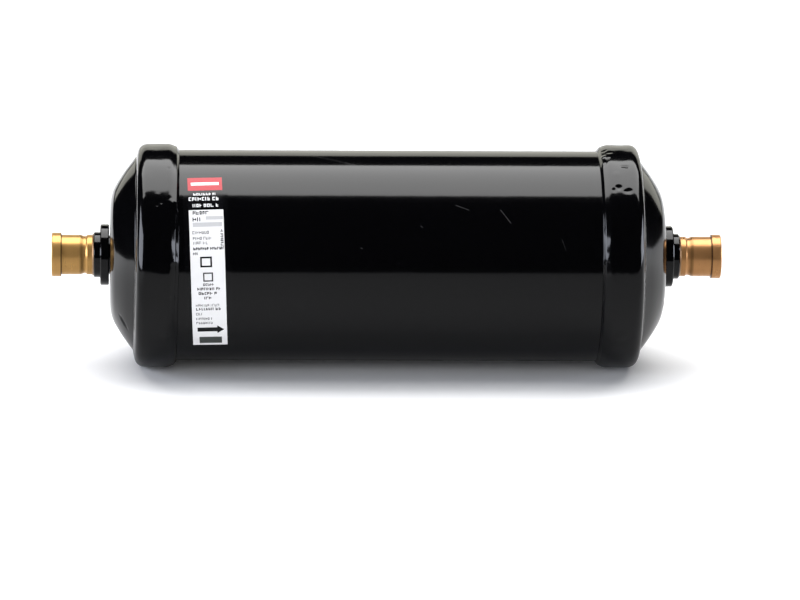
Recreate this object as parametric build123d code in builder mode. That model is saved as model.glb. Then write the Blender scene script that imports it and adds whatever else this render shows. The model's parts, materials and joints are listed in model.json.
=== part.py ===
from build123d import *
from math import atan2, cos, degrees, radians, sin, tan
import os

os.makedirs("parts", exist_ok=True)

# Hermetic liquid-line filter drier: a welded steel shell with dished ends and
# copper solder stubs, holding a spring-loaded desiccant block. The flow runs
# along +X, +Z is up and the origin is the middle of the shell. Sizes in mm.

# Shell
shell_od = 76.1
shell_wall = 2.5
shell_length = 176.0

# Dished ends: a flat crown, a cone and a straight skirt, joined by arcs
dish_wall = 3.0
dish_angle = 34.0
dish_cone_width = 13.6
dish_crown_radius = 14.0
dish_knuckle_radius = 4.5
skirt_length = 12.95
skirt_lap = 10.0
skirt_fit = 0.05

# Seam welds between shell and dished ends
seam_height = 2.3
seam_overhang = 3.2
seam_face_lean = 1.0
seam_lap = 12.3
seam_slope = 3.2
seam_toe_radius = 4.0
seam_shoulder_radius = 4.8
lump_radius = 8.0
lump_count = 16
lump_height = 0.5
lump_setback = 6.2

# Turned bosses in the dished ends
spigot_radius = 7.0
spigot_proud = 1.2
spigot_bore_radius = 5.5
spigot_fit = 0.05
neck_gap = 0.3
flange_radius = 11.05
flange_thickness = 3.2
collar_radius = 8.2
collar_length = 2.4
boss_chamfer = 0.35
boss_weld_leg = 1.0

# Copper solder stubs
stub_radius = 7.2
stub_wall = 0.8
stub_reach = 15.13
stub_seat_depth = 4.5
stub_braze_fit = 0.05
rim_radius = 7.95
rim_length = 3.5
rim_chamfer = 0.3
socket_depth = 10.5
stop_depth = 0.6
stop_mouth_run = 1.6
stop_boss_run = 0.8
stop_rounding = 1.0
braze_leg = 0.5

# Perforated plate on the outlet side
plate_thickness = 1.2
plate_rim_length = 10.0
plate_fit = 0.2
plate_bend_radius = 2.0
hole_radius = 1.6
hole_pitch = 6.4
hole_field_margin = 5.15

# Polyester mat, desiccant block and pad
mat_thickness = 6.0
mat_fit = 0.15
core_side_gap = 2.55
core_length = 112.0
core_chamfer = 2.5
core_bore_radius = 8.0
core_floor = 18.0
pad_thickness = 2.0
pad_width = 5.5

# Spring plate
pan_height = 3.0
pan_rounding = 1.0
spider_margin = 0.8
lug_count = 6
lug_width = 9.0
lug_length = 8.0

# Conical compression spring
wire_diameter = 2.4
coil_gap = 0.1
small_coil_fit = 1.0
large_coil_fit = 0.3
active_turns = 5

# Label on the front of the shell
label_width = 16.0
label_thickness = 0.15
label_seam_gap = 2.75
label_top_angle = 64.0
label_bottom_angle = -43.5
label_skew = 2.0
label_corner_radius = 1.5

# Places along the axis, on the outlet side; the inlet side mirrors them
shell_radius = shell_od / 2
shell_bore_radius = shell_radius - shell_wall
shell_end = shell_length / 2
skirt_radius = shell_bore_radius - skirt_fit
skirt_inner_end = shell_end - skirt_lap
dish_flat_radius = skirt_radius - dish_cone_width
dish_corner_x = skirt_inner_end + skirt_length
apex_x = dish_corner_x + dish_cone_width * tan(radians(dish_angle))
flange_in_x = apex_x + neck_gap
flange_out_x = flange_in_x + flange_thickness
collar_out_x = flange_out_x + collar_length
mouth_x = collar_out_x + stub_reach
stub_seat_x = collar_out_x - stub_seat_depth
spigot_in_x = apex_x - dish_wall - spigot_proud
seam_radius = shell_radius + seam_height
seam_foot = shell_end - seam_lap
seam_outer_face = shell_end + seam_overhang


def dish_corners(inset, inner_radius):
    """Corners (x, r) of a dished surface that lies inset below the outer one."""
    slope = radians(dish_angle)
    crown_x = apex_x - inset
    crown_edge = dish_flat_radius - inset * tan(slope / 2)
    skirt_face = skirt_radius - inset
    corner_x = dish_corner_x + inset * (tan(slope) - 1 / cos(slope))
    return [
        (crown_x, inner_radius),
        (crown_x, crown_edge),
        (corner_x, skirt_face),
        (skirt_inner_end, skirt_face),
    ]


def mirrored(points, side):
    """The same (x, r) points on the inlet side (-1) or the outlet side (+1)."""
    return [(side * x, r) for x, r in points]


# Shell tube
with BuildPart() as shell_barrel:
    with BuildSketch(Plane.YZ.offset(-shell_end)):
        Circle(shell_radius)
        Circle(shell_bore_radius, mode=Mode.SUBTRACT)
    extrude(amount=shell_length)

shell_barrel.part.label = "shell_barrel"
export_step(shell_barrel.part, "parts/shell_barrel.step")

for end_name, side in (("inlet", -1), ("outlet", 1)):
    # Dished end with a straight skirt inside the shell and a hole for the boss
    with BuildPart() as end_cap:
        with BuildSketch(Plane.XZ):
            outer = dish_corners(0, spigot_radius + spigot_fit)
            inner = dish_corners(dish_wall, spigot_radius + spigot_fit)
            with BuildLine():
                FilletPolyline(
                    mirrored(outer, side),
                    radius=[dish_crown_radius, dish_knuckle_radius],
                )
                FilletPolyline(
                    mirrored(inner, side),
                    radius=[
                        dish_crown_radius - dish_wall,
                        dish_knuckle_radius - dish_wall,
                    ],
                )
                Line(mirrored([outer[0], inner[0]], side))
                Line(mirrored([outer[-1], inner[-1]], side))
            make_face()
        revolve(axis=Axis.X)

    end_cap.part.label = f"{end_name}_end_cap"
    export_step(end_cap.part, f"parts/{end_name}_end_cap.step")

    # Seam weld: a wide band over the shell's edge, with a rounded shoulder
    # towards the dished end and a row of lumps along its foot
    with BuildPart() as seam_weld:
        with BuildSketch(Plane.XZ):
            band = [
                (seam_foot, shell_radius),
                (seam_foot + seam_slope, seam_radius),
                (seam_outer_face - seam_face_lean, seam_radius),
                (seam_outer_face, shell_bore_radius - dish_wall),
            ]
            with BuildLine():
                FilletPolyline(
                    mirrored(band, side),
                    radius=[seam_toe_radius, seam_shoulder_radius],
                )
                Polyline(
                    mirrored(
                        [band[-1], (seam_foot, band[-1][1]), band[0]],
                        side,
                    )
                )
            make_face()
        revolve(axis=Axis.X)
        lump_x = seam_foot + lump_setback
        lump_center_radius = seam_radius + lump_height - lump_radius
        with Locations(Plane.YZ.offset(side * lump_x)):
            with PolarLocations(lump_center_radius, lump_count):
                Sphere(lump_radius)
        with BuildSketch(Plane.XZ):
            with BuildLine():
                dish = mirrored(dish_corners(0, 0), side)
                FilletPolyline(
                    dish,
                    radius=[dish_crown_radius, dish_knuckle_radius],
                )
                Polyline(dish[-1], (side * skirt_inner_end, 0), dish[0])
            make_face()
        revolve(axis=Axis.X, mode=Mode.SUBTRACT)
        with BuildSketch(Plane.YZ):
            Circle(shell_radius)
        extrude(amount=side * shell_end, mode=Mode.SUBTRACT)

    seam_weld.part.label = f"{end_name}_seam_weld"
    export_step(seam_weld.part, f"parts/{end_name}_seam_weld.step")

    # Turned boss: spigot through the dished end, flange and stepped collar
    with BuildPart() as boss:
        with BuildSketch(Plane.XZ):
            with BuildLine():
                Polyline(
                    mirrored(
                        [
                            (spigot_in_x, spigot_bore_radius),
                            (spigot_in_x, spigot_radius),
                            (flange_in_x, spigot_radius),
                            (flange_in_x, flange_radius),
                            (flange_out_x, flange_radius),
                            (flange_out_x, collar_radius),
                            (collar_out_x, collar_radius),
                            (collar_out_x, stub_radius + stub_braze_fit),
                            (stub_seat_x, stub_radius + stub_braze_fit),
                            (stub_seat_x, spigot_bore_radius),
                        ],
                        side,
                    ),
                    close=True,
                )
            make_face()
        revolve(axis=Axis.X)
        outer_edges = boss.edges().filter_by(GeomType.CIRCLE)
        chamfer(
            [
                edge
                for edge in outer_edges
                if edge.radius in (flange_radius, collar_radius)
                and abs(edge.center().X) > flange_in_x - boss_chamfer
                and abs(abs(edge.center().X) - flange_out_x)
                + abs(edge.radius - collar_radius)
                > boss_chamfer
            ],
            boss_chamfer,
        )

    boss.part.label = f"{end_name}_boss"
    export_step(boss.part, f"parts/{end_name}_boss.step")

    # Weld fillet round the spigot on the inner face of the dished end
    with BuildPart() as boss_weld:
        with BuildSketch(Plane.XZ):
            weld_face_x = apex_x - dish_wall
            with BuildLine():
                Polyline(
                    mirrored(
                        [
                            (weld_face_x, spigot_radius),
                            (weld_face_x, spigot_radius + boss_weld_leg),
                            (weld_face_x - boss_weld_leg, spigot_radius),
                        ],
                        side,
                    ),
                    close=True,
                )
            make_face()
        revolve(axis=Axis.X)

    boss_weld.part.label = f"{end_name}_boss_weld"
    export_step(boss_weld.part, f"parts/{end_name}_boss_weld.step")

    # Copper stub with a rolled tube stop and a thicker rim at its mouth
    with BuildPart() as stub:
        stop_x = mouth_x - socket_depth - stop_mouth_run
        with BuildSketch(Plane.XZ):
            bore_radius = stub_radius - stub_wall
            outer = [
                (stub_seat_x, stub_radius),
                (stop_x - stop_boss_run, stub_radius),
                (stop_x, stub_radius - stop_depth),
                (stop_x + stop_mouth_run, stub_radius),
                (mouth_x - rim_length, stub_radius),
            ]
            inner = [
                (stub_seat_x, bore_radius),
                (stop_x - stop_boss_run, bore_radius),
                (stop_x, bore_radius - stop_depth),
                (stop_x + stop_mouth_run, bore_radius),
                (mouth_x, bore_radius),
            ]
            rim = [
                outer[-1],
                (mouth_x - rim_length, rim_radius),
                (mouth_x - rim_chamfer, rim_radius),
                (mouth_x, rim_radius - rim_chamfer),
                inner[-1],
            ]
            with BuildLine():
                FilletPolyline(
                    mirrored(outer, side),
                    radius=[0.5 * stop_rounding, stop_rounding, stop_rounding],
                )
                FilletPolyline(
                    mirrored(inner, side),
                    radius=[0.5 * stop_rounding, stop_rounding, stop_rounding],
                )
                Polyline(mirrored(rim, side))
                Line(mirrored([outer[0], inner[0]], side))
            make_face()
        revolve(axis=Axis.X)

    stub.part.label = f"{end_name}_solder_stub"
    export_step(stub.part, f"parts/{end_name}_solder_stub.step")

    # Braze fillet between stub and boss collar
    with BuildPart() as braze_ring:
        with BuildSketch(Plane.XZ):
            with BuildLine():
                Polyline(
                    mirrored(
                        [
                            (collar_out_x, stub_radius),
                            (collar_out_x, stub_radius + braze_leg),
                            (collar_out_x + braze_leg, stub_radius),
                        ],
                        side,
                    ),
                    close=True,
                )
            make_face()
        revolve(axis=Axis.X)

    braze_ring.part.label = f"{end_name}_braze_ring"
    export_step(braze_ring.part, f"parts/{end_name}_braze_ring.step")

# Perforated plate: a pressed cup that seats on the outlet skirt's inner end
plate_outer_radius = shell_bore_radius - plate_fit
plate_inner_radius = plate_outer_radius - plate_thickness
plate_face_x = skirt_inner_end - plate_thickness
hole_field_radius = plate_inner_radius - hole_field_margin

with BuildPart() as perforated_plate:
    with BuildSketch(Plane.YZ.offset(skirt_inner_end)):
        Circle(plate_outer_radius)
    extrude(amount=-plate_rim_length)
    fillet(
        perforated_plate.faces().sort_by(Axis.X)[-1].edges(),
        plate_bend_radius,
    )
    offset(
        amount=-plate_thickness,
        openings=perforated_plate.faces().sort_by(Axis.X)[0],
    )
    with BuildSketch(Plane.YZ.offset(skirt_inner_end)):
        rows = int(2 * hole_field_radius / hole_pitch) + 1
        with HexLocations(hole_pitch / 2, rows, rows) as hole_grid:
            hole_places = [
                place.position
                for place in hole_grid.local_locations
                if place.position.length <= hole_field_radius
            ]
        with Locations(*hole_places):
            Circle(hole_radius)
    extrude(amount=-plate_thickness, mode=Mode.SUBTRACT)

perforated_plate.part.label = "perforated_plate"
export_step(perforated_plate.part, "parts/perforated_plate.step")

# Polyester mat inside the plate's rim
with BuildPart() as filter_mat:
    with BuildSketch(Plane.YZ.offset(plate_face_x)):
        Circle(plate_inner_radius - mat_fit)
    extrude(amount=-mat_thickness)
    chamfer(
        filter_mat.faces().sort_by(Axis.X)[-1].edges(),
        plate_bend_radius - plate_thickness + mat_fit,
    )

filter_mat.part.label = "filter_mat"
export_step(filter_mat.part, "parts/filter_mat.step")

# Desiccant block, bored from its outlet end
core_radius = shell_bore_radius - core_side_gap
core_out_x = plate_face_x - mat_thickness
core_in_x = core_out_x - core_length

with BuildPart() as desiccant_core:
    with BuildSketch(Plane.YZ.offset(core_out_x)):
        Circle(core_radius)
    extrude(amount=-core_length)
    chamfer(
        desiccant_core.edges().filter_by(GeomType.CIRCLE),
        core_chamfer,
    )
    with BuildSketch(Plane.YZ.offset(core_out_x)):
        Circle(core_bore_radius)
    extrude(amount=-(core_length - core_floor), mode=Mode.SUBTRACT)

desiccant_core.part.label = "desiccant_core"
export_step(desiccant_core.part, "parts/desiccant_core.step")

# Felt ring between the block and the spring plate
pad_outer_radius = core_radius - core_chamfer
pad_inner_radius = pad_outer_radius - pad_width

with BuildPart() as core_pad:
    with BuildSketch(Plane.YZ.offset(core_in_x)):
        Circle(pad_outer_radius)
        Circle(pad_inner_radius, mode=Mode.SUBTRACT)
    extrude(amount=-pad_thickness)

core_pad.part.label = "core_pad"
export_step(core_pad.part, "parts/core_pad.step")

# Spring plate: a raised pan inside the spring, and lugs that ride in the shell
pad_in_x = core_in_x - pad_thickness
seat_x = pad_in_x - plate_thickness
pan_radius = pad_inner_radius
wire_radius = wire_diameter / 2
large_coil_radius = pan_radius + large_coil_fit + wire_radius
spider_radius = large_coil_radius + wire_radius + spider_margin

with BuildPart() as spring_plate:
    with BuildSketch(Plane.YZ.offset(pad_in_x)):
        Circle(spider_radius)
        with PolarLocations(0, lug_count):
            Rectangle(
                plate_outer_radius,
                lug_width,
                align=(Align.MIN, Align.CENTER),
            )
        Circle(plate_outer_radius, mode=Mode.INTERSECT)
    extrude(amount=-plate_thickness)
    with BuildSketch(Plane.YZ.offset(pad_in_x)):
        with PolarLocations(0, lug_count):
            Rectangle(
                plate_outer_radius,
                lug_width,
                align=(Align.MIN, Align.CENTER),
            )
        Circle(plate_outer_radius, mode=Mode.INTERSECT)
        Circle(plate_inner_radius, mode=Mode.SUBTRACT)
    extrude(amount=lug_length)
    with BuildSketch(Plane.XZ):
        with BuildLine():
            FilletPolyline(
                (seat_x - pan_height, 0),
                (seat_x - pan_height, pan_radius),
                (seat_x, pan_radius),
                radius=pan_rounding,
            )
            Polyline(
                (seat_x, pan_radius),
                (seat_x, 0),
                (seat_x - pan_height, 0),
            )
        make_face()
    revolve(axis=Axis.X)
    with BuildSketch(Plane.XZ):
        with BuildLine():
            FilletPolyline(
                (pad_in_x - pan_height, 0),
                (pad_in_x - pan_height, pan_radius - plate_thickness),
                (pad_in_x, pan_radius - plate_thickness),
                radius=pan_rounding,
            )
            Polyline(
                (pad_in_x, pan_radius - plate_thickness),
                (pad_in_x, 0),
                (pad_in_x - pan_height, 0),
            )
        make_face()
    revolve(axis=Axis.X, mode=Mode.SUBTRACT)

spring_plate.part.label = "spring_plate"
export_step(spring_plate.part, "parts/spring_plate.step")

# Conical spring with closed, ground ends, from the inlet end to the plate
small_coil_radius = spigot_radius + boss_weld_leg + small_coil_fit + wire_radius
spring_start_x = -(apex_x - dish_wall)
end_pitch = wire_diameter + coil_gap
cone_start_x = spring_start_x + end_pitch
cone_end_x = seat_x - end_pitch
cone_height = cone_end_x - cone_start_x
cone_angle = degrees(atan2(large_coil_radius - small_coil_radius, cone_height))

with BuildPart() as core_spring:
    for start_x, pitch, height, radius, flare in (
        (spring_start_x, end_pitch, end_pitch, small_coil_radius, 0),
        (cone_start_x, cone_height / active_turns, cone_height, small_coil_radius, cone_angle),
        (cone_end_x, end_pitch, end_pitch, large_coil_radius, 0),
    ):
        with BuildLine() as coil:
            Helix(pitch, height, radius, (start_x, 0, 0), (1, 0, 0), flare)
        with BuildSketch(Plane(coil.line @ 0, z_dir=coil.line % 0)):
            Circle(wire_radius)
        sweep(path=coil.line, is_frenet=True)
        with Locations(coil.line @ 0):
            Sphere(wire_radius)
    split(bisect_by=Plane.YZ.offset(spring_start_x), keep=Keep.TOP)
    split(bisect_by=Plane.YZ.offset(seat_x), keep=Keep.BOTTOM)

core_spring.part.label = "core_spring"
export_step(core_spring.part, "parts/core_spring.step")

# Label: a thin sheet that follows the shell, set slightly askew
label_center = -(seam_foot - label_seam_gap - label_width / 2)

with BuildPart() as label:
    with BuildSketch(Plane.XZ):
        with Locations((label_center, shell_radius)):
            Rectangle(
                2 * label_width,
                label_thickness,
                align=(Align.CENTER, Align.MIN),
            )
    revolve(axis=Axis.X, revolution_arc=180)
    label_top_z = shell_radius * sin(radians(label_top_angle))
    label_bottom_z = shell_radius * sin(radians(label_bottom_angle))
    with BuildSketch(Plane.XZ):
        with Locations((label_center, (label_top_z + label_bottom_z) / 2)):
            RectangleRounded(
                label_width,
                label_top_z - label_bottom_z,
                label_corner_radius,
                rotation=label_skew,
            )
    extrude(amount=shell_od, mode=Mode.INTERSECT)

label.part.label = "label"
export_step(label.part, "parts/label.step")
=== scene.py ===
import json
import math
import random
import bpy
from mathutils import Matrix, Vector, noise

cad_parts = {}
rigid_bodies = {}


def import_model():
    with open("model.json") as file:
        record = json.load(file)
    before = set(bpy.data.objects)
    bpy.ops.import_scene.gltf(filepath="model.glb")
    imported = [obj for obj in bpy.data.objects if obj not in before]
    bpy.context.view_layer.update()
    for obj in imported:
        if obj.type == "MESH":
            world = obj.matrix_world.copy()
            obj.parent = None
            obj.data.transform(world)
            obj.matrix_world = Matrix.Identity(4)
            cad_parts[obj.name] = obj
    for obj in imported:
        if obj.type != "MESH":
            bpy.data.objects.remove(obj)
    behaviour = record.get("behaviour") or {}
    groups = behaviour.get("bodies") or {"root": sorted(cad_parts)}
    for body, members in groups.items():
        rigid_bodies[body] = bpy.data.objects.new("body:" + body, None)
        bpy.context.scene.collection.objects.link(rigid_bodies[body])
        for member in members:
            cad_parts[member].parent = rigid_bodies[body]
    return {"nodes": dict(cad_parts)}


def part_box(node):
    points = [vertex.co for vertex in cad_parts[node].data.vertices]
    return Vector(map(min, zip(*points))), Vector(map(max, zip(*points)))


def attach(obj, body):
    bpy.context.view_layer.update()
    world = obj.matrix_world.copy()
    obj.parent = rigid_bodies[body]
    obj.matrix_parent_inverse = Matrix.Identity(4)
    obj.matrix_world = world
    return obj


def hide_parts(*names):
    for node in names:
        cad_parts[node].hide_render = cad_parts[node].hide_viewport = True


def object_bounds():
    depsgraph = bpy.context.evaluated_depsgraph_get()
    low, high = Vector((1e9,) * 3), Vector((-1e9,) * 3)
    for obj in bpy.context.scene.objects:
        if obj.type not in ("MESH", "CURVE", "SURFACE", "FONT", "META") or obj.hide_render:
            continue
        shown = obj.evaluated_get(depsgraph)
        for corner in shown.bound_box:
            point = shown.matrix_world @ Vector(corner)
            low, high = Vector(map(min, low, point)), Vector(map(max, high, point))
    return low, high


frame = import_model()
cad_low, cad_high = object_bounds()

# Black welded filter drier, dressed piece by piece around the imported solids.
# Values are in metres where no comment says mm. +X is the flow, the label faces
# -Y, and +Z is up.

MM = 0.001
SIDES = (("inlet", -1), ("outlet", 1))


# Sizes read from the frame: z of a round piece's box is its radius

def high(node):
    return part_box(node)[1]


SHELL_RADIUS = high("shell_barrel").z
SHELL_END = high("shell_barrel").x
SKIRT_RADIUS = high("outlet_end_cap").z
SKIRT_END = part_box("outlet_end_cap")[0].x
APEX = high("outlet_end_cap").x
MOUTH = high("outlet_solder_stub").x
FLOOR_Z = cad_low[2]

# Seam welds: a band from its foot on the tube to its face over the tube's edge

SEAM_RADIUS = SHELL_RADIUS + 2.3 * MM
SEAM_FOOT = SHELL_END - 12.3 * MM
SEAM_FACE = SHELL_END + 3.2 * MM
SEAM_FACE_LEAN = 1.0 * MM
SEAM_LIP = 0.3 * MM
SEAM_INNER_RADIUS = 34.6 * MM
SEAM_BACK_RADIUS = 35.2 * MM
SEAM_SINK = 0.2 * MM
SEAM_ROUNDS = (0.6 * MM, 5.0 * MM, 3.6 * MM)
TOE_CORNER = 1.0 * MM
TOE_HEIGHT = 1.35 * MM
TOE_RUN = 3.3 * MM

# Dished ends: crown, cone, knuckle and skirt

DISH_WALL = 3.0 * MM
DISH_SLOPE = math.radians(34.0)
CONE_WIDTH = 13.6 * MM
CROWN_RADIUS = 15.0 * MM
CONE_RADIUS = 60.0 * MM
CONE_BULGE = 0.45 * MM
KNUCKLE_RADIUS = 1.0 * MM
INNER_KNUCKLE_RADIUS = 0.4 * MM
SKIRT_LENGTH = 12.95 * MM
SPIGOT_RADIUS = 7.0 * MM
HOLE_RADIUS = SPIGOT_RADIUS + 0.05 * MM
DISH_FLAT = SKIRT_RADIUS - CONE_WIDTH
DISH_CORNER = SKIRT_END + SKIRT_LENGTH

# Stubs: the step of the rim and the ring beside the rolled stop, both places of painted shade on
# the copper

RIM_STEP = MOUTH - 3.5 * MM
STOP_SHADE = MOUTH - 10.7 * MM

# Fineness of the meshes

WELD_STEPS = 768
DISH_STEPS = 512
WELD_ARC_STEPS = 8
DISH_ARC_STEPS = 12
WELD_GRAIN = 0.36 * MM
DISH_GRAIN = 0.6 * MM
ROW_HEIGHT = 1.0 * MM
CORNER_STEPS = 5
CREASE = math.radians(30)

# How close two places are that count as one

MERGE_REACH = 0.5e-6
NEAR = 1e-6
BACK_NEAR = 1e-7


# Shader maths

# Share of a streak's half width that is fully marked
STREAK_CORE = 0.3


class Value:
    """A shader socket that takes part in Python sums."""

    def __init__(self, shader, socket):
        self.shader = shader
        self.socket = socket

    def math(self, operation, *others, swapped=False):
        terms = [self, *others]
        if swapped:
            terms.reverse()
        inputs = {number: term for number, term in enumerate(terms)}
        return self.shader.node("Math", {"operation": operation}, inputs)

    def __add__(self, other):
        return self.math("ADD", other)

    def __radd__(self, other):
        return self.math("ADD", other, swapped=True)

    def __sub__(self, other):
        return self.math("SUBTRACT", other)

    def __rsub__(self, other):
        return self.math("SUBTRACT", other, swapped=True)

    def __mul__(self, other):
        return self.math("MULTIPLY", other)

    def __rmul__(self, other):
        return self.math("MULTIPLY", other, swapped=True)

    def __abs__(self):
        return self.math("ABSOLUTE")


class Nodes:
    """A node tree that grows by one method."""

    def __init__(self, tree):
        self.tree = tree

    def node(self, kind, settings, inputs, output=0):
        """Adds a node, sets it up, feeds its sockets and returns one output."""
        made = self.tree.nodes.new("ShaderNode" + kind)
        for key, setting in settings.items():
            setattr(made, key, setting)
        for key, source in inputs.items():
            self.feed(made.inputs[key], source)
        return Value(self, made.outputs[output])

    def feed(self, socket, source):
        if isinstance(source, Value):
            self.tree.links.new(source.socket, socket)
        else:
            socket.default_value = source


class Shader(Nodes):
    """A material's node tree with one Principled surface."""

    def __init__(self, name):
        self.material = bpy.data.materials.new(name)
        self.material.use_nodes = True
        super().__init__(self.material.node_tree)
        self.surface = self.tree.nodes["Principled BSDF"]
        self.place = self.node("TexCoord", {}, {}, "Object")

    def set(self, **sockets):
        """Sets the surface's sockets: Base_Color feeds Base Color."""
        for key, source in sockets.items():
            self.feed(self.surface.inputs[key.replace("_", " ")], source)

    def axis(self, name):
        return self.node("SeparateXYZ", {}, {0: self.place}, name)

    def noise(self, scale, detail=2.0, roughness=0.5, place=None):
        """Noise from 0 to 1; scale is in features for each metre."""
        return self.node(
            "TexNoise",
            {},
            {
                "Vector": place or self.place,
                "Scale": scale,
                "Detail": detail,
                "Roughness": roughness,
            },
        )

    def stretched(self, scale_x, scale_y, scale_z):
        """Object place, scaled along each axis to draw a pattern out."""
        return self.node(
            "Mapping", {}, {"Vector": self.place, "Scale": (scale_x, scale_y, scale_z)}
        )

    def band(self, value, low, high):
        """0 up to low, 1 from high on, smooth between; low may be the larger one."""
        return self.node(
            "MapRange",
            {"interpolation_type": "SMOOTHSTEP"},
            {"Value": value, "From Min": low, "From Max": high},
        )

    def mix(self, factor, first, second):
        """A colour between first and second."""
        return self.node(
            "Mix",
            {"data_type": "RGBA"},
            {"Factor": factor, 6: colour(first), 7: colour(second)},
            2,
        )

    def streak(self, start, end, width):
        """1 along the line from start to end, fading to 0 at width from it."""
        run = end - start
        offset = self.node(
            "VectorMath", {"operation": "SUBTRACT"}, {0: self.place, 1: start}
        )
        along = self.node(
            "VectorMath",
            {"operation": "DOT_PRODUCT"},
            {0: offset, 1: run / run.length_squared},
            1,
        )
        share = self.node("Clamp", {}, {0: along})
        foot = self.node(
            "VectorMath", {"operation": "SCALE"}, {0: run, "Scale": share}
        )
        gap = self.node("VectorMath", {"operation": "DISTANCE"}, {0: offset, 1: foot}, 1)
        return self.band(gap, width, STREAK_CORE * width)

    def bump(self, height, distance, strength=1.0, normal=None):
        """A normal from a height of 0 to 1 that stands for a distance in metres."""
        inputs = {"Height": height, "Distance": distance, "Strength": strength}
        if normal is not None:
            inputs["Normal"] = normal
        return self.node("Bump", {}, inputs)


def colour(value):
    """A grey number or an RGB tuple as a socket colour; a link stays a link."""
    if isinstance(value, Value):
        return value
    if isinstance(value, float):
        return (value, value, value, 1.0)
    return (*value, 1.0)


# Building by operators

def clear_selection():
    for item in bpy.context.view_layer.objects.selected[:]:
        item.select_set(False)


def start_editing():
    bpy.ops.object.mode_set(mode="EDIT")
    bpy.ops.mesh.select_all(action="SELECT")


def stop_editing():
    bpy.ops.object.mode_set(mode="OBJECT")


def lathe(name, profile, steps):
    """Turns a closed profile of (x, radius) points round the X axis, ring by ring."""
    clear_selection()
    x, radius = profile[0]
    bpy.ops.mesh.primitive_circle_add(
        vertices=steps,
        radius=radius,
        location=(x, 0, 0),
        rotation=(0, math.pi / 2, 0),
    )
    piece = bpy.context.object
    piece.name = name
    bpy.ops.object.transform_apply(location=True, rotation=True, scale=True)
    start_editing()
    for next_x, next_radius in profile[1:] + profile[:1]:
        step = (next_x - x, 0, 0)
        bpy.ops.mesh.extrude_edges_move(TRANSFORM_OT_translate={"value": step})
        growth = next_radius / radius
        bpy.ops.transform.resize(
            value=(1, growth, growth),
            center_override=(next_x, 0, 0),
        )
        x, radius = next_x, next_radius
    bpy.ops.mesh.select_all(action="SELECT")
    bpy.ops.mesh.remove_doubles(threshold=MERGE_REACH)
    bpy.ops.mesh.normals_make_consistent(inside=False)
    stop_editing()
    bpy.ops.object.shade_smooth()
    return piece


def push(piece, amount):
    """Moves each vertex along its normal by amount(place) metres."""
    vertices = piece.data.vertices
    normals = [vertex.normal.copy() for vertex in vertices]
    places = [vertex.co.copy() for vertex in vertices]
    moved = []
    for place, normal in zip(places, normals):
        moved.extend(place + normal * amount(place))
    vertices.foreach_set("co", moved)
    piece.data.update()


def round_corners(corners, radii, steps):
    """Rounds the inner corners of a line of (x, radius) points with arcs."""
    points = [corners[0]]
    for before, corner, after, radius in zip(corners, corners[1:], corners[2:], radii):
        here = Vector(corner)
        back = (Vector(before) - here).normalized()
        ahead = (Vector(after) - here).normalized()
        half = back.angle(ahead) / 2
        center = here + (back + ahead).normalized() * radius / math.sin(half)
        start = here + back * radius / math.tan(half) - center
        sweep = start.angle_signed(here + ahead * radius / math.tan(half) - center)
        for number in range(steps + 1):
            turned = start.copy()
            turned.rotate(Matrix.Rotation(-sweep * number / steps, 2))
            points.append(tuple(center + turned))
    points.append(corners[-1])
    return points


def fill_in(points, longest):
    """Adds points so that no step along the line is longer than longest."""
    line = [points[0]]
    for start, end in zip(points, points[1:]):
        gap = math.dist(start, end)
        parts = max(1, math.ceil(gap / longest))
        for number in range(1, parts + 1):
            share = number / parts
            line.append(
                (
                    start[0] + (end[0] - start[0]) * share,
                    start[1] + (end[1] - start[1]) * share,
                )
            )
    return line


def mirrored(points, side):
    return [(side * x, radius) for x, radius in points]


def angle_of(place):
    """Angle round the shell: 0 at the front, 90 degrees at the top."""
    return math.atan2(place.z, -place.y)


def shell_place(x, angle, radius=SEAM_RADIUS):
    """A place on the shell from x in mm and the angle up from the front."""
    turn = math.radians(angle)
    return Vector((x * MM, -radius * math.cos(turn), radius * math.sin(turn)))


def dress(piece, material):
    """Gives a finished piece its finish and its body."""
    piece.data.materials.append(material)
    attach(piece, "root")
    return piece


# Finishes

PAINT_BLACK = (0.0009, 0.0009, 0.0012)
DUST_GREY = (0.03, 0.03, 0.032)
SCUFF_GREY = (0.06, 0.06, 0.062)

# Scuffs of the barrel: start x and angle, end x and angle, half width, strength.
# Lengths are in mm, and angles in degrees up from the front.
SCUFFS = (
    (23.3, 43.2, 27.9, 40.3, 0.22, 0.7),
    (39.3, 40.3, 42.8, 32.8, 0.25, 0.8),
    (-10.75, 18.9, -10.2, 18.6, 0.35, 0.6),
    (2.45, 11.0, 2.9, 10.6, 0.30, 0.5),
    (10.7, 31.0, 11.3, 30.2, 0.30, 0.6),
    (-28.3, 85.7, -12.3, 73.0, 1.20, 0.35),
    (61.0, 24.0, 62.4, 18.0, 0.20, 0.5),
    (-34.0, -12.0, -30.5, -15.0, 0.22, 0.4),
    (48.0, 150.0, 60.0, 156.0, 0.30, 0.7),
    (-50.0, 128.0, -42.0, 121.0, 0.30, 0.7),
    (5.0, 205.0, 22.0, 214.0, 0.45, 0.5),
)


def scuff_mask(shader, scuffs):
    """1 where a scuff has worn the gloss, broken up by a fine noise."""
    total = None
    for start_x, start_angle, end_x, end_angle, width, strength in scuffs:
        start = shell_place(start_x, start_angle, SHELL_RADIUS)
        end = shell_place(end_x, end_angle, SHELL_RADIUS)
        mark = shader.streak(start, end, width * MM) * strength
        total = mark if total is None else total + mark
    return shader.band(total * shader.noise(1800.0, 3.0, 0.7), 0.08, 0.45)


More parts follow.
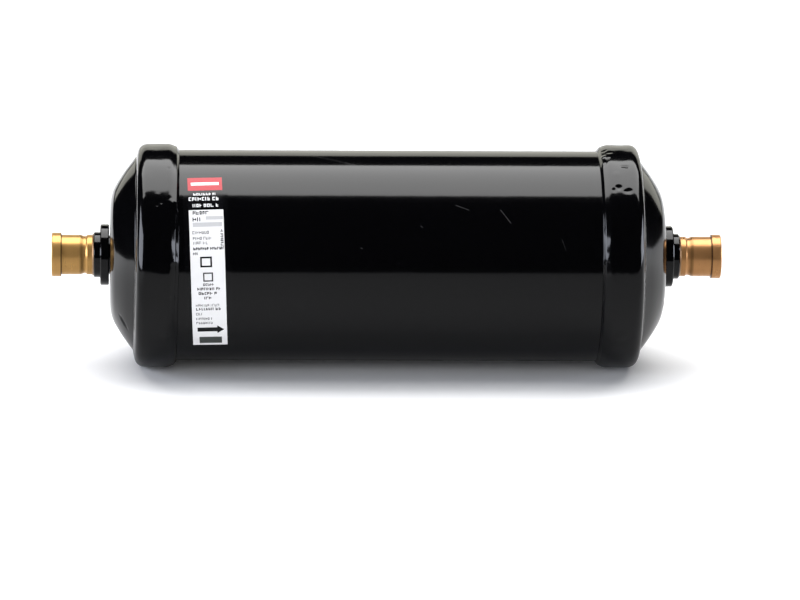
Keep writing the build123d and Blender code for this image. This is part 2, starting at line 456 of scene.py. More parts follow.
def black_paint(name, scuffs=()):
    """Black gloss paint with a slight orange peel, a little dust and any scuffs."""
    shader = Shader(name)
    patches = shader.noise(45.0, 3.0, 0.6)
    dust = shader.band(shader.noise(2600.0, 2.0), 0.70, 0.80)
    base = shader.mix(dust * 0.25, PAINT_BLACK, DUST_GREY)
    roughness = 0.075 + patches * 0.04 + dust * 0.15
    if scuffs:
        worn = scuff_mask(shader, scuffs)
        base = shader.mix(worn * 0.5, base, SCUFF_GREY)
        roughness = roughness + worn * 0.22
    peel = shader.noise(520.0, 2.0)
    swell = shader.noise(70.0, 1.0)
    normal = shader.bump(swell, 0.06 * MM, 0.5)
    normal = shader.bump(peel, 0.004 * MM, 0.6, normal)
    shader.set(
        Base_Color=base,
        Roughness=roughness,
        Normal=normal,
        IOR=1.5,
    )
    return shader.material


COPPER_BRIGHT = ((0.77, 0.44, 0.145), (0.74, 0.38, 0.15))
COPPER_DULL = ((0.58, 0.32, 0.10), (0.56, 0.27, 0.105))
COPPER_SPOT = (0.34, 0.17, 0.07)
# Painted shade: a dark ring beside the rolled stop, and a dark line at the step of the rim
PAINTED_STOP_SHADE = (0.20, 0.10, 0.03)
PAINTED_STEP_SHADE = (0.05, 0.025, 0.012)


def copper():
    """Turned copper under a thin tarnish, redder at the outlet, with painted shade at the step of
    its rim and beside its rolled stop.
    """
    shader = Shader("copper_turned")
    along = shader.axis("X")
    rings = shader.noise(1.0, 3.0, 0.7, shader.stretched(1500.0, 30.0, 30.0))
    tarnish = shader.noise(160.0, 4.0, 0.6)
    spots = shader.band(shader.noise(900.0, 3.0), 0.62, 0.75)
    outlet = shader.band(along, -50.0 * MM, 50.0 * MM)
    bright = shader.mix(outlet, *COPPER_BRIGHT)
    dull = shader.mix(outlet, *COPPER_DULL)
    base = shader.mix(tarnish * 0.6 + rings * 0.4, bright, dull)
    base = shader.mix(spots * 0.3, base, COPPER_SPOT)
    # Painted shade at the step of the rim and beside the rolled stop darkens the copper there
    step = shader.band(abs(abs(along) - RIM_STEP), 0.34 * MM, 0.12 * MM)
    stop = shader.band(abs(abs(along) - STOP_SHADE), 0.9 * MM, 0.2 * MM)
    base = shader.mix(stop * 0.45, base, PAINTED_STOP_SHADE)
    base = shader.mix(step * 0.85, base, PAINTED_STEP_SHADE)
    shader.set(
        Base_Color=base,
        Metallic=0.76,
        Roughness=0.21 + rings * 0.08 + tarnish * 0.08,
        Normal=shader.bump(rings, 0.03 * MM, 0.5),
    )
    return shader.material


def braze():
    """Silver-brass braze alloy, run out unevenly and dulled by flux."""
    shader = Shader("braze_alloy")
    flow = shader.noise(700.0, 3.0)
    base = shader.mix(flow, (0.60, 0.42, 0.24), (0.30, 0.17, 0.10))
    shader.set(
        Base_Color=base,
        Metallic=1.0,
        Roughness=0.35 + flow * 0.2,
        Normal=shader.bump(flow, 0.1 * MM, 0.6),
    )
    return shader.material


def bare_steel():
    """Pressed steel sheet with a rolled grain and a thin oil film."""
    shader = Shader("bare_steel_pressed")
    grain = shader.noise(1.0, 3.0, 0.6, shader.stretched(400.0, 400.0, 6000.0))
    stain = shader.noise(90.0, 3.0)
    base = shader.mix(stain, (0.52, 0.52, 0.51), (0.36, 0.35, 0.34))
    shader.set(
        Base_Color=base,
        Metallic=1.0,
        Roughness=0.30 + grain * 0.15,
        Normal=shader.bump(grain, 0.01 * MM, 0.4),
    )
    return shader.material


def spring_steel():
    """Drawn wire with a phosphate coat."""
    shader = Shader("spring_steel_wire")
    coat = shader.noise(1200.0, 3.0)
    base = shader.mix(coat, (0.16, 0.16, 0.17), (0.30, 0.30, 0.31))
    shader.set(
        Base_Color=base,
        Metallic=1.0,
        Roughness=0.38 + coat * 0.15,
        Normal=shader.bump(coat, 0.01 * MM, 0.5),
    )
    return shader.material


def felt():
    """Pale pressed felt with loose fibres."""
    shader = Shader("felt_pressed")
    fibres = shader.noise(1.0, 6.0, 0.7, shader.stretched(900.0, 2600.0, 2600.0))
    base = shader.mix(fibres, (0.78, 0.76, 0.70), (0.58, 0.55, 0.48))
    shader.set(
        Base_Color=base,
        Roughness=0.95,
        Normal=shader.bump(fibres, 0.4 * MM, 0.8),
    )
    return shader.material


def desiccant():
    """Bonded sieve beads: packed round grains, darker towards their edges between them, in a dull
    binder.
    """
    shader = Shader("desiccant_beads")
    beads = shader.node("TexVoronoi", {}, {"Vector": shader.place, "Scale": 700.0})
    binder = shader.noise(300.0, 3.0)
    gaps = shader.band(beads, 0.25, 0.55)
    base = shader.mix(gaps, (0.74, 0.66, 0.54), (0.45, 0.38, 0.29))
    base = shader.mix(binder * 0.4, base, (0.62, 0.56, 0.47))
    shader.set(
        Base_Color=base,
        Roughness=0.9,
        Normal=shader.bump(1.0 - beads, 0.6 * MM, 0.8),
    )
    return shader.material


def polyester():
    """White fibre mat."""
    shader = Shader("polyester_mat")
    fibres = shader.noise(1.0, 6.0, 0.75, shader.stretched(700.0, 3200.0, 3200.0))
    base = shader.mix(fibres, (0.88, 0.88, 0.86), (0.66, 0.66, 0.64))
    shader.set(
        Base_Color=base,
        Roughness=0.9,
        Normal=shader.bump(fibres, 0.5 * MM, 0.9),
    )
    return shader.material


def label_film():
    """Glossy dark carrier strip under the printed label."""
    shader = Shader("label_film_dark")
    grain = shader.noise(900.0, 2.0)
    shader.set(
        Base_Color=shader.mix(grain, (0.0012, 0.0012, 0.0014), (0.0025, 0.0025, 0.003)),
        Roughness=0.09 + grain * 0.03,
        Normal=shader.bump(grain, 0.003 * MM, 0.5),
    )
    return shader.material


def print_shader(name, base, worn, roughness):
    """Printed film: a flat colour with faint mottle and handling marks."""
    shader = Shader(name)
    mottle = shader.noise(1400.0, 3.0)
    marks = shader.band(shader.noise(220.0, 4.0, 0.65), 0.60, 0.85)
    tint = shader.mix(mottle * 0.3, base, worn)
    tint = shader.mix(marks * 0.25, tint, worn)
    shader.set(
        Base_Color=tint,
        Roughness=roughness * (1.0 + mottle * 0.3 + marks * 0.4),
        Normal=shader.bump(mottle, 0.003 * MM, 0.5),
    )
    return shader.material


# Seam welds

def weld_section():
    """Closed (x, radius) section of the band: steep toe, flat top, round shoulder."""
    corners = [
        (SEAM_FOOT, SHELL_RADIUS),
        (SEAM_FOOT + TOE_CORNER, SHELL_RADIUS + TOE_HEIGHT),
        (SEAM_FOOT + TOE_RUN, SEAM_RADIUS),
        (SEAM_FACE - SEAM_FACE_LEAN, SEAM_RADIUS),
        (SEAM_FACE + SEAM_LIP, SEAM_INNER_RADIUS),
    ]
    outer = round_corners(corners, SEAM_ROUNDS, WELD_ARC_STEPS)
    return fill_in(outer, WELD_GRAIN) + [
        (SHELL_END, SEAM_BACK_RADIUS),
        (SHELL_END, SHELL_RADIUS - SEAM_SINK),
        (SEAM_FOOT, SHELL_RADIUS - SEAM_SINK),
    ]


# Waves and ripples of the welds: heights, and how many there are to a metre.
# The toe sinks by its depth round the front, up to an end angle in degrees.
WAVE_HEIGHT = {"inlet": 0.10 * MM, "outlet": 0.13 * MM}
RIPPLE_HEIGHT = 0.014 * MM
WAVES = 120.0
RIPPLES = 420.0
WAVE_DRAW = 1.6
WAVE_SEED = Vector((3.1, 7.7, 1.9))
TOE_DEPTH = {"inlet": 0.6 * MM, "outlet": 0.1 * MM}
TOE_WASH_END = 44.0
TOE_WASH_FADE = 16.0

# The bead stays plain inside this radius and, over the tube, below this height
STILL_RADIUS = 35.0 * MM
STILL_HEIGHT = 0.05 * MM

# How the inlet weld was laid askew
INLET_WELD_SHIFT = 0.15 * MM
INLET_WELD_LEAN = 0.012
INLET_WELD_DROP = 0.2 * MM

# Lumps (height above 0) and pits (below 0) of the welds: x, angle, radius, height.
# Lengths are in mm, and the angle in degrees up from the front.
WELD_MARKS = {
    "inlet": (
        (-79.6, 65.8, 0.8, -0.14),
        (-83.8, 46.0, 2.3, 0.045),
        (-78.6, 46.5, 2.0, 0.03),
        (-88.2, 45.0, 2.0, 0.04),
        (-82.3, 40.8, 1.5, 0.14),
        (-83.7, 39.6, 1.2, 0.16),
        (-85.6, 41.5, 1.4, 0.10),
        (-78.6, 43.0, 2.0, 0.16),
        (-78.0, 31.0, 2.6, -0.20),
        (-77.2, 12.0, 2.4, 0.20),
        (-77.6, -8.0, 2.2, -0.16),
        (-80.0, -28.0, 3.4, 0.22),
        (-84.5, 150.0, 2.8, 0.20),
        (-79.0, 205.0, 3.0, 0.20),
    ),
    "outlet": (
        (81.7, 52.4, 1.7, -0.44),
        (80.1, 50.9, 1.2, -0.20),
        (85.4, 50.4, 1.5, -0.36),
        (84.3, 49.9, 1.1, -0.20),
        (83.8, 67.9, 1.0, -0.22),
        (85.0, 67.7, 1.1, -0.28),
        (77.7, 87.0, 1.5, -0.30),
        (76.6, 72.5, 1.5, 0.30),
        (77.0, 79.0, 1.9, 0.34),
        (78.7, 75.5, 1.2, -0.32),
        (79.6, 83.0, 1.6, -0.18),
        (81.0, 61.5, 2.2, 0.05),
        (84.9, 36.1, 1.2, 0.14),
        (78.6, 35.5, 1.2, 0.12),
        (77.6, 14.0, 2.4, 0.12),
        (81.4, 20.0, 3.0, 0.12),
        (78.2, -12.0, 2.6, -0.16),
        (83.0, -30.0, 3.2, 0.18),
        (80.0, 140.0, 3.0, 0.22),
        (84.0, 215.0, 2.6, 0.18),
    ),
}


def toe_wash(place, depth):
    """How far the steep toe sinks round the front, where it runs out as a slope."""
    run = abs(place.x) - SEAM_FOOT
    if run > TOE_RUN or run < 0.0:
        return 0.0
    rise = min(run / TOE_CORNER, (TOE_RUN - run) / (TOE_RUN - TOE_CORNER))
    angle = math.degrees(angle_of(place))
    return depth * rise * min(max((TOE_WASH_END - abs(angle)) / TOE_WASH_FADE, 0.0), 1.0)


def weld_ripple(place, name, seed, marks):
    """How far the bead stands out from its plain form at a place."""
    radius = math.hypot(place.y, place.z)
    buried = radius < SHELL_RADIUS + STILL_HEIGHT and abs(place.x) < SHELL_END
    if buried or radius < STILL_RADIUS:
        return 0.0
    drawn = Vector((place.x * WAVE_DRAW, place.y, place.z))
    wide = noise.noise(drawn * WAVES + seed)
    fine = noise.noise(place * RIPPLES + seed)
    total = WAVE_HEIGHT[name] * wide + RIPPLE_HEIGHT * fine
    total -= toe_wash(place, TOE_DEPTH[name])
    for center, reach, height in marks:
        share = (place - center).length / reach
        if share < 1.0:
            total += height * (1.0 - share * share) ** 2
    return total


def lean_inlet_weld(piece):
    """The inlet bead was laid a little askew: its top leans towards the label.

    Its back stays against the tube's edge.
    """
    places = [vertex.co.copy() for vertex in piece.data.vertices]
    leaned = []
    for place in places:
        shift = INLET_WELD_SHIFT + INLET_WELD_LEAN * place.z
        if abs(abs(place.x) - SHELL_END) < BACK_NEAR:
            shift = 0.0
        leaned.extend((place.x + shift, place.y, place.z - INLET_WELD_DROP))
    piece.data.vertices.foreach_set("co", leaned)
    piece.data.update()


def seam_weld(name, side, material):
    piece = lathe(name + "_seam_weld_bead", mirrored(weld_section(), side), WELD_STEPS)
    marks = [
        (shell_place(x, angle), reach * MM, height * MM)
        for x, angle, reach, height in WELD_MARKS[name]
    ]
    seed = WAVE_SEED * (2 + side)
    push(piece, lambda place: weld_ripple(place, name, seed, marks))
    if side < 0:
        lean_inlet_weld(piece)
    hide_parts(name + "_seam_weld")
    return dress(piece, material)


# Dished ends

# Dents in mm: center, direction of the long axis, half length, half width, depth
DENTS = {
    "inlet": (((-94.88, -22.9, -18.52), (-0.42, 0.20, 0.88), 4.2, 1.5, 0.55),),
    "outlet": (((99.60, -17.8, -13.25), (0.3, 0.2, 0.9), 1.6, 0.9, 0.4),),
}


def dish_line(inset):
    """Open (x, radius) line of the dish at a depth below its outer face."""
    corner_x = DISH_CORNER + inset * (math.tan(DISH_SLOPE) - 1 / math.cos(DISH_SLOPE))
    crown = (APEX - inset, DISH_FLAT - inset * math.tan(DISH_SLOPE / 2))
    edge = (corner_x, SKIRT_RADIUS - inset)
    middle = (
        (crown[0] + edge[0]) / 2 + CONE_BULGE * math.cos(DISH_SLOPE),
        (crown[1] + edge[1]) / 2 + CONE_BULGE * math.sin(DISH_SLOPE),
    )
    corners = [
        (APEX - inset, HOLE_RADIUS),
        crown,
        middle,
        edge,
        (SKIRT_END, SKIRT_RADIUS - inset),
    ]
    knuckle = max(KNUCKLE_RADIUS - inset, INNER_KNUCKLE_RADIUS)
    radii = [CROWN_RADIUS - inset, CONE_RADIUS, knuckle]
    return round_corners(corners, radii, DISH_ARC_STEPS)


def dent_depth(place, dents):
    """Depth below the plain dish: each dent is an oval hollow with soft edges."""
    if abs(place.x) < SHELL_END:
        return 0.0
    total = 0.0
    for center, along, length, width, depth in dents:
        offset = place - center
        run = offset.dot(along)
        rest = (offset - along * run).length
        reach = (run / length) ** 2 + (rest / width) ** 2
        if reach < 1.0:
            total += depth * (1.0 - reach) ** 2
    return total


def end_cap(name, side, material):
    outer = fill_in(dish_line(0.0), DISH_GRAIN)
    inner = dish_line(DISH_WALL)
    section = outer + inner[::-1]
    piece = lathe(name + "_end_cap_dish", mirrored(section, side), DISH_STEPS)
    dents = [
        (Vector(center) * MM, Vector(along).normalized(), length * MM, width * MM, depth * MM)
        for center, along, length, width, depth in DENTS[name]
    ]
    push(piece, lambda place: -dent_depth(place, dents))
    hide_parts(name + "_end_cap")
    return dress(piece, material)


# Label: thin sheets laid out flat as (across, along) and wrapped on the shell

LABEL_X = -64.95 * MM
LABEL_LEAN = math.radians(1.98)
WRAP_RADIUS = SHELL_RADIUS + 0.15 * MM
LABEL_SEED = 11

# Layers: depth of the underside below the wrap radius, and thickness
CARRIER_DEPTH = 0.14 * MM
CARRIER_WALL = 0.08 * MM
FIELD_DEPTH = 0.075 * MM
TEXT_DEPTH = 0.045 * MM
PRINT_WALL = 0.04 * MM

# Inks: fresh colour, worn colour, roughness
INKS = {
    "white": ((0.80, 0.80, 0.81), (0.70, 0.69, 0.67), 0.26),
    "black": ((0.002, 0.002, 0.003), (0.008, 0.008, 0.008), 0.11),
    "red": ((0.48, 0.018, 0.030), (0.42, 0.05, 0.06), 0.16),
    "grey": ((0.52, 0.52, 0.53), (0.42, 0.42, 0.43), 0.26),
    "slate": ((0.052, 0.058, 0.054), (0.040, 0.045, 0.042), 0.26),
}

# Made-up letters: lengths are shares of the letter height, words are in letters
LETTER_WIDTHS = (0.32, 0.55, 0.6, 0.65, 0.85)
BAR_WIDTH = 0.4
BAR_LEVELS = (0.0, 0.5, 1.0)
BAR_COUNTS = (1, 2)
POST_CHANCE = 0.5
LETTER_GAP = 0.22
WORD_GAP = 0.45
FIRST_WORD = (4, 9)
NEXT_WORD = (3, 9)

# Fields of the label: left, bottom, right, top, in mm
CARRIER = (-8.0, -29.1, 8.0, 42.7)
CARRIER_CORNER = 1.5 * MM
FIELD_EDGE = 6.15
PANEL_TOP = 26.6
BAND_TOP = 34.75
WHITE_PANEL = (-FIELD_EDGE, -28.3, FIELD_EDGE, PANEL_TOP)
BLACK_BAND = (-FIELD_EDGE, PANEL_TOP, FIELD_EDGE, BAND_TOP)
RED_PATCH = (-FIELD_EDGE, BAND_TOP, FIELD_EDGE, 40.85)
PALE_STRIPE = (-5.0, 37.1, 5.0, 38.5)
GREY_BARS = ((-0.2, 22.8, 5.9, 24.1), (-4.9, 20.2, 5.5, 21.8))
CODE_BOX = (-3.8, -27.1, 4.2, -23.4)
ARROW_SHAFT = (-4.4, -20.5, 2.7, -18.5)
ARROW_HEAD = (2.7, -21.4, 5.1, -17.6)

# Share of the arrow head's width that is left at its tip
ARROW_TIP = 0.02

# Hollow squares: left, bottom, right, top, line width, in mm
SQUARES = ((-2.7, 5.6, 1.5, 9.4, 0.6), (-1.8, 0.4, 1.7, 3.7, 0.45))

# Lines of print, the side line upright: left, right, middle, height, stroke, in mm
PALE_LINES = (
    (-4.3, 4.1, 33.1, 1.00, 0.26),
    (-6.0, 5.3, 31.1, 1.45, 0.34),
    (-4.7, 4.8, 28.4, 1.25, 0.30),
)
DARK_LINES = (
    (-4.8, 1.1, 25.5, 1.35, 0.30),
    (-4.9, -0.6, 23.0, 1.50, 0.32),
    (-5.1, 1.2, 18.1, 1.05, 0.15),
    (-5.0, 1.8, 16.0, 1.00, 0.14),
    (-4.9, 0.7, 14.3, 1.00, 0.14),
    (-5.0, 5.4, 12.3, 0.95, 0.26),
    (-5.1, -3.4, 10.5, 0.90, 0.18),
    (-1.9, 1.9, -0.7, 0.85, 0.20),
    (-4.0, 4.2, -2.3, 1.00, 0.26),
    (-3.6, 3.6, -4.0, 1.00, 0.26),
    (-1.6, 1.6, -5.8, 1.00, 0.26),
    (-4.7, 4.0, -8.7, 0.95, 0.13),
    (-4.7, 4.6, -10.2, 1.05, 0.26),
    (-4.7, -1.5, -12.3, 1.00, 0.16),
    (-4.7, 1.6, -14.4, 1.00, 0.18),
    (-4.7, 1.6, -16.3, 1.00, 0.18),
)
SIDE_LINE = (11.9, 19.2, 5.3, 0.95, 0.22)


def add_patch(left, bottom, right, top):
    """Adds a flat rectangle, in mm, cut into rows that can follow the shell."""
    middle = ((left + right) / 2 * MM, (bottom + top) / 2 * MM, 0)
    rows = max(1, math.ceil((top - bottom) * MM / ROW_HEIGHT))
    bpy.ops.mesh.primitive_grid_add(
        x_subdivisions=1,
        y_subdivisions=rows,
        size=MM,
        location=middle,
    )
    bpy.ops.transform.resize(
        value=(right - left, top - bottom, 1),
        center_override=middle,
    )


def start_sheet(name, patches):
    """A flat sheet made of (left, bottom, right, top) patches, in edit mode."""
    clear_selection()
    bpy.ops.mesh.primitive_plane_add(size=MM)
    piece = bpy.context.object
    piece.name = name
    start_editing()
    bpy.ops.mesh.delete(type="VERT")
    for patch in patches:
        add_patch(*patch)
    return piece


def wrap_sheet(piece, depth, thickness):
    """Gives the sheet its thickness and bends it round the shell, a little askew."""
    bpy.ops.mesh.select_all(action="SELECT")
    up = (0, 0, thickness)
    bpy.ops.mesh.extrude_region_move(TRANSFORM_OT_translate={"value": up})
    bpy.ops.mesh.select_all(action="SELECT")
    bpy.ops.mesh.normals_make_consistent(inside=False)
    stop_editing()
    bent = []
    for vertex in piece.data.vertices:
        across, along, height = vertex.co
        x = LABEL_X + across * math.cos(LABEL_LEAN) - along * math.sin(LABEL_LEAN)
        arc = across * math.sin(LABEL_LEAN) + along * math.cos(LABEL_LEAN)
        turn = arc / WRAP_RADIUS
        radius = WRAP_RADIUS - depth + height
        bent.extend((x, -radius * math.cos(turn), radius * math.sin(turn)))
    piece.data.vertices.foreach_set("co", bent)
    piece.data.update()
    clear_selection()
    piece.select_set(True)
    bpy.context.view_layer.objects.active = piece
    bpy.ops.object.shade_smooth_by_angle(angle=CREASE)


def cut_corners(patch, radius):
    """Rounds the four corners of the patch that is being edited."""
    left, bottom, right, top = [edge * MM for edge in patch]
    bpy.ops.mesh.select_all(action="DESELECT")
    bpy.ops.mesh.select_mode(type="VERT")
    sheet = bpy.context.edit_object
    stop_editing()
    for vertex in sheet.data.vertices:
        at_end = vertex.co.y < bottom + NEAR or vertex.co.y > top - NEAR
        at_side = vertex.co.x < left + NEAR or vertex.co.x > right - NEAR
        vertex.select = at_end and at_side
    bpy.ops.object.mode_set(mode="EDIT")
    bpy.ops.mesh.bevel(offset=radius, segments=CORNER_STEPS, affect="VERTICES")


def letter_patches(dice, left, low, height, stroke):
    """Strokes of one made-up letter, a post with bars, and its width."""
    width = height * dice.choice(LETTER_WIDTHS)
    strokes = [(left, low, left + stroke, low + height)]
    if width > BAR_WIDTH * height:
        for level in dice.sample(BAR_LEVELS, dice.choice(BAR_COUNTS)):
            start = low + level * (height - stroke)
            strokes.append((left + stroke, start, left + width, start + stroke))
        if dice.random() < POST_CHANCE:
            right = left + width
            strokes.append((right - stroke, low + stroke, right, low + height - stroke))
    return strokes, width


def line_patches(dice, left, right, middle, height, stroke):
    """A line of made-up letters, in words, between left and right."""
    patches = []
    place = left
    letters = dice.randint(*FIRST_WORD)
    while place < right:
        strokes, width = letter_patches(dice, place, middle - height / 2, height, stroke)
        if place + width > right:
            break
        patches.extend(strokes)
        place += width + LETTER_GAP * height
        letters -= 1
        if letters == 0:
            place += WORD_GAP * height
            letters = dice.randint(*NEXT_WORD)
    return patches


def frame_patches(left, bottom, right, top, line):
    """The four sides of a hollow rectangle."""
    return [
        (left, bottom, right, bottom + line),
        (left, top - line, right, top),
        (left, bottom + line, left + line, top - line),
        (right - line, bottom + line, right, top - line),
    ]


def label_sheet(name, patches, depth, material):
    piece = start_sheet(name, patches)
    wrap_sheet(piece, depth, PRINT_WALL)
    return dress(piece, material)


def label_arrow(material):
    """Flow arrow: the head is a patch drawn to a point at its right edge."""
    piece = start_sheet("label_flow_arrow", [ARROW_SHAFT])
    add_patch(*ARROW_HEAD)
    tip = (ARROW_HEAD[2] * MM, (ARROW_HEAD[1] + ARROW_HEAD[3]) / 2 * MM, 0)
    bpy.ops.mesh.select_all(action="DESELECT")
    stop_editing()
    for vertex in piece.data.vertices:
        vertex.select = abs(vertex.co.x - tip[0]) < NEAR
    bpy.ops.object.mode_set(mode="EDIT")
    bpy.ops.transform.resize(value=(1, ARROW_TIP, 1), center_override=tip)
    wrap_sheet(piece, TEXT_DEPTH, PRINT_WALL)
    return dress(piece, material)


def label_carrier():
    """The dark strip under the print, with rounded corners."""
    film = start_sheet("label_carrier", [CARRIER])
    cut_corners(CARRIER, CARRIER_CORNER)
    wrap_sheet(film, CARRIER_DEPTH, CARRIER_WALL)
    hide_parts("label")
    return dress(film, label_film())


def pale_patches(dice):
    """White print on the black band, and the plain stripe on the red patch."""
    patches = [patch for line in PALE_LINES for patch in line_patches(dice, *line)]
    return patches + [PALE_STRIPE]


def dark_patches(dice):
    """Black print on the white panel, with its upright line and hollow squares."""
    patches = [patch for line in DARK_LINES for patch in line_patches(dice, *line)]
    turned = line_patches(dice, *SIDE_LINE)
    patches += [(bottom, left, top, right) for left, bottom, right, top in turned]
    for square in SQUARES:
        patches += frame_patches(*square)
    return patches


def build_label():
    dice = random.Random(LABEL_SEED)
    label_carrier()
    inks = {name: print_shader("label_" + name, *ink) for name, ink in INKS.items()}
    label_sheet("label_white_panel", [WHITE_PANEL], FIELD_DEPTH, inks["white"])
    label_sheet("label_black_band", [BLACK_BAND], FIELD_DEPTH, inks["black"])
    label_sheet("label_red_patch", [RED_PATCH], FIELD_DEPTH, inks["red"])
    label_sheet("label_grey_bars", GREY_BARS, TEXT_DEPTH, inks["grey"])
    label_sheet("label_code_box", [CODE_BOX], TEXT_DEPTH, inks["slate"])
    label_sheet("label_pale_print", pale_patches(dice), TEXT_DEPTH, inks["white"])
    label_sheet("label_dark_print", dark_patches(dice), TEXT_DEPTH, inks["black"])
    label_arrow(inks["black"])


# Stage: floor, backdrop, lamps and camera

FLOOR_LEFT = -0.50
FLOOR_RIGHT = 1.60
FLOOR_FRONT = -0.68
FLOOR_BACK = 3.25
BACKDROP_Y = 3.20
BACKDROP_TOP = BACKDROP_Y * math.tan(math.radians(24.5))
BACKDROP_WIDTH = 4.95
BACKDROP_X = 0.42
BACKDROP_TINT = (1.0, 0.99, 0.89)

# Tone of the table: brighter to the lens, with painted shade in front for the object's gloss that
# eases to the left, and the places along Y and X between which that changes
TABLE_TONE = 0.80
TABLE_LENS_RISE = 0.25
TABLE_GLOSS_PAINTED_SHADE = 0.56
TABLE_LEFT_SHADE_EASE = 0.12
TABLE_BACK_FADE = (-0.10, 0.12)
TABLE_LEFT_FADE = (-0.12, -0.32)


def add_plane(name, size_x, size_y, place, turn=(0, 0, 0)):
    """A flat stage card of a given size and place."""
    clear_selection()
    bpy.ops.mesh.primitive_plane_add(size=1, location=place, rotation=turn)
    piece = bpy.context.object
    piece.name = name
    piece.scale = (size_x, size_y, 1)
    bpy.ops.object.transform_apply(location=True, rotation=True, scale=True)
    return piece


def floor_material():
    """White table with its own tone for the lens, and painted shade in front for the object's
    gloss.
    """
    shader = Shader("white_table")
    path = shader.node("LightPath", {}, {}, "Is Camera Ray")
    gloss = shader.node("LightPath", {}, {}, "Is Glossy Ray")
    behind = shader.band(shader.axis("Y"), *TABLE_BACK_FADE)
    left = shader.band(shader.axis("X"), *TABLE_LEFT_FADE)
    # Painted shade on the table, seen only in the object's gloss: darker in front, less so to the
    # left
    gloss_painted_shade = TABLE_GLOSS_PAINTED_SHADE - behind * TABLE_GLOSS_PAINTED_SHADE - left * TABLE_LEFT_SHADE_EASE
    tone = TABLE_TONE + path * TABLE_LENS_RISE - gloss * gloss_painted_shade
    shader.set(
        Base_Color=shader.node("CombineColor", {}, {0: tone, 1: tone, 2: tone}),
        Roughness=1.0,
        Specular_IOR_Level=0.0,
    )
    return shader.material


def backdrop_material():
    """A card that shines for the lens and for gloss, and lights nothing."""
    shader = Shader("backdrop_card")
    seen = shader.node("LightPath", {}, {}, "Is Camera Ray")
    gloss = shader.node("LightPath", {}, {}, "Is Glossy Ray")
    shader.set(
        Base_Color=colour(0.0),
        Roughness=1.0,
        Specular_IOR_Level=0.0,
        Emission_Color=colour(BACKDROP_TINT),
        Emission_Strength=seen + gloss,
    )
    return shader.material


def build_stage():
    center_x = (FLOOR_LEFT + FLOOR_RIGHT) / 2
    center_y = (FLOOR_FRONT + FLOOR_BACK) / 2
    floor = add_plane(
        "table",
        FLOOR_RIGHT - FLOOR_LEFT,
        FLOOR_BACK - FLOOR_FRONT,
        (center_x, center_y, FLOOR_Z),
    )
    floor.data.materials.append(floor_material())
    backdrop = add_plane(
        "backdrop",
        BACKDROP_WIDTH,
        BACKDROP_TOP - FLOOR_Z,
        (BACKDROP_X, BACKDROP_Y, (BACKDROP_TOP + FLOOR_Z) / 2),
        (math.radians(90), 0, 0),
    )
    backdrop.data.materials.append(backdrop_material())


def add_lamp(name, place, aim, size, radiance, tint, gloss):
    """Area lamp of a given size and radiance, turned towards aim."""
    lamp = bpy.data.lights.new(name, "AREA")
    lamp.shape = "RECTANGLE"
    lamp.size, lamp.size_y = size
    lamp.energy = radiance * math.pi * size[0] * size[1]
    lamp.color = tint
    item = bpy.data.objects.new(name, lamp)
    bpy.context.scene.collection.objects.link(item)
    place = Vector(place)
    item.location = place
    item.rotation_euler = (Vector(aim) - place).to_track_quat("-Z", "Y").to_euler()
    item.visible_glossy = gloss
    return item


def polar(azimuth, elevation, distance):
    """A place round the object: azimuth 0 is behind it, 90 to its right."""
    across = math.cos(math.radians(elevation)) * distance
    turn = math.radians(azimuth)
    return (
        across * math.sin(turn),
        across * math.cos(turn),
        distance * math.sin(math.radians(elevation)),
    )


PLAIN_LIGHT = (1, 1, 1)
COOL_LIGHT = (0.90, 0.95, 1.08)
SOFTBOX_DISTANCE = 1.3
LEFT_SOFTBOX = polar(-109.0, 14.5, SOFTBOX_DISTANCE)
RIGHT_SOFTBOX = polar(93.0, 7.0, SOFTBOX_DISTANCE)

# Lamps: name, place, aim, size, radiance, tint, seen in the gloss
LAMPS = (
    ("overhead_softbox", (0.05, 0.341, 1.151), (0.05, 0, 0), (2.2, 1.06), 3.9, PLAIN_LIGHT, True),
    ("left_softbox", LEFT_SOFTBOX, (-0.09, 0, 0), (1.15, 0.74), 4.9, COOL_LIGHT, True),
    ("right_softbox", RIGHT_SOFTBOX, (0.09, 0, 0), (0.86, 0.40), 4.9, COOL_LIGHT, True),
    ("low_front_fill", (-0.3, -2.3, 0.22), (0, 0, 0), (0.9, 0.35), 9.8, PLAIN_LIGHT, False),
    ("middle_front_fill", (-0.2, -1.9, 0.9), (0, 0, 0), (1.2, 0.6), 3.1, PLAIN_LIGHT, False),
    ("high_front_fill", (0.05, -0.40, 1.25), (0.05, 0, 0), (2.4, 0.6), 1.8, PLAIN_LIGHT, False),
)

AMBIENT = 0.006


def build_lamps():
    for lamp in LAMPS:
        add_lamp(*lamp)


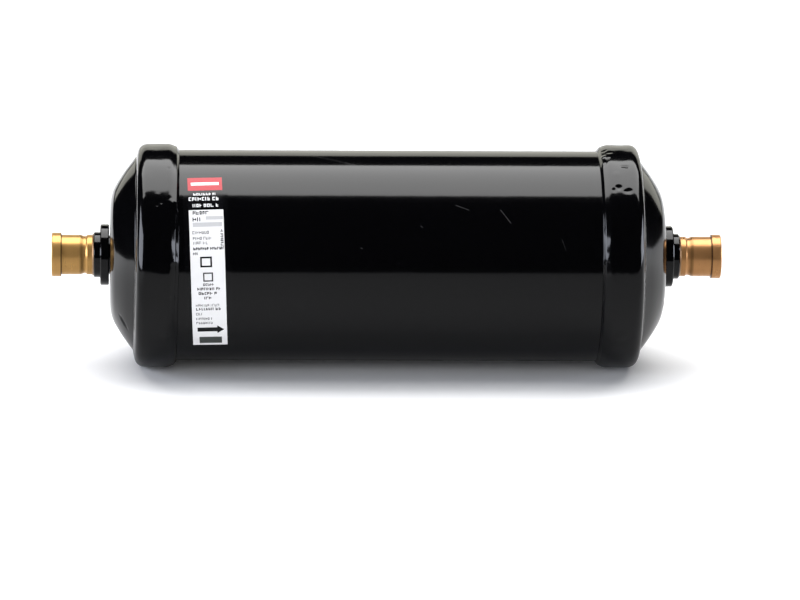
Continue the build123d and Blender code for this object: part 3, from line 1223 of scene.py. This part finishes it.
def build_world():
    """White to the lens, and nearly dark to everything else."""
    world = bpy.data.worlds.new("studio")
    world.use_nodes = True
    bpy.context.scene.world = world
    nodes = Nodes(world.node_tree)
    straight = nodes.node("LightPath", {}, {}, "Is Camera Ray")
    through = nodes.node("LightPath", {}, {}, "Is Transmission Ray")
    seen = straight.math("MAXIMUM", through)
    background = world.node_tree.nodes["Background"].inputs
    nodes.feed(background["Color"], colour(1.0))
    nodes.feed(background["Strength"], seen.math("MAXIMUM", AMBIENT))


# Camera: place in metres, turns in degrees, lens and sensor in mm
CAMERA_PLACE = (-0.0914, -2.1250, 0.5694)
CAMERA_TURN = 2.6
CAMERA_TILT = 15.405
CAMERA_ROLL = 0.848
CAMERA_REACH = 20.0
LENS = 273.5
SENSOR_WIDTH = 36.0


def build_camera():
    """Long lens from the front, a little above and left of the middle."""
    camera = bpy.data.cameras.new("camera")
    camera.lens = LENS
    camera.sensor_width = SENSOR_WIDTH
    camera.clip_end = CAMERA_REACH
    item = bpy.data.objects.new("camera", camera)
    bpy.context.scene.collection.objects.link(item)
    turn = Matrix.Rotation(math.radians(-CAMERA_TURN), 4, "Z")
    tilt = Matrix.Rotation(math.radians(90 - CAMERA_TILT), 4, "X")
    roll = Matrix.Rotation(math.radians(CAMERA_ROLL), 4, "Z")
    item.matrix_world = Matrix.Translation(CAMERA_PLACE) @ turn @ tilt @ roll
    bpy.context.scene.camera = item


# The object: dressed pieces and coated solids

def coat_node(node, material):
    item = frame["nodes"][node]
    item.data.materials.clear()
    item.data.materials.append(material)


def build_object(paint):
    for name, side in SIDES:
        seam_weld(name, side, paint)
        end_cap(name, side, paint)
    build_label()


def coat_solids(paint):
    steel = bare_steel()
    stub_metal = copper()
    alloy = braze()
    coat_node("shell_barrel", black_paint("black_paint_barrel", SCUFFS))
    for name, side in SIDES:
        coat_node(name + "_boss", paint)
        coat_node(name + "_boss_weld", steel)
        coat_node(name + "_solder_stub", stub_metal)
        coat_node(name + "_braze_ring", alloy)
    coat_node("core_spring", spring_steel())
    coat_node("spring_plate", steel)
    coat_node("core_pad", felt())
    coat_node("desiccant_core", desiccant())
    coat_node("filter_mat", polyester())
    coat_node("perforated_plate", steel)


gloss_paint = black_paint("black_paint_gloss")
build_object(gloss_paint)
coat_solids(gloss_paint)
build_stage()
build_lamps()
build_world()
build_camera()
bpy.context.scene.view_settings.view_transform = "Standard"
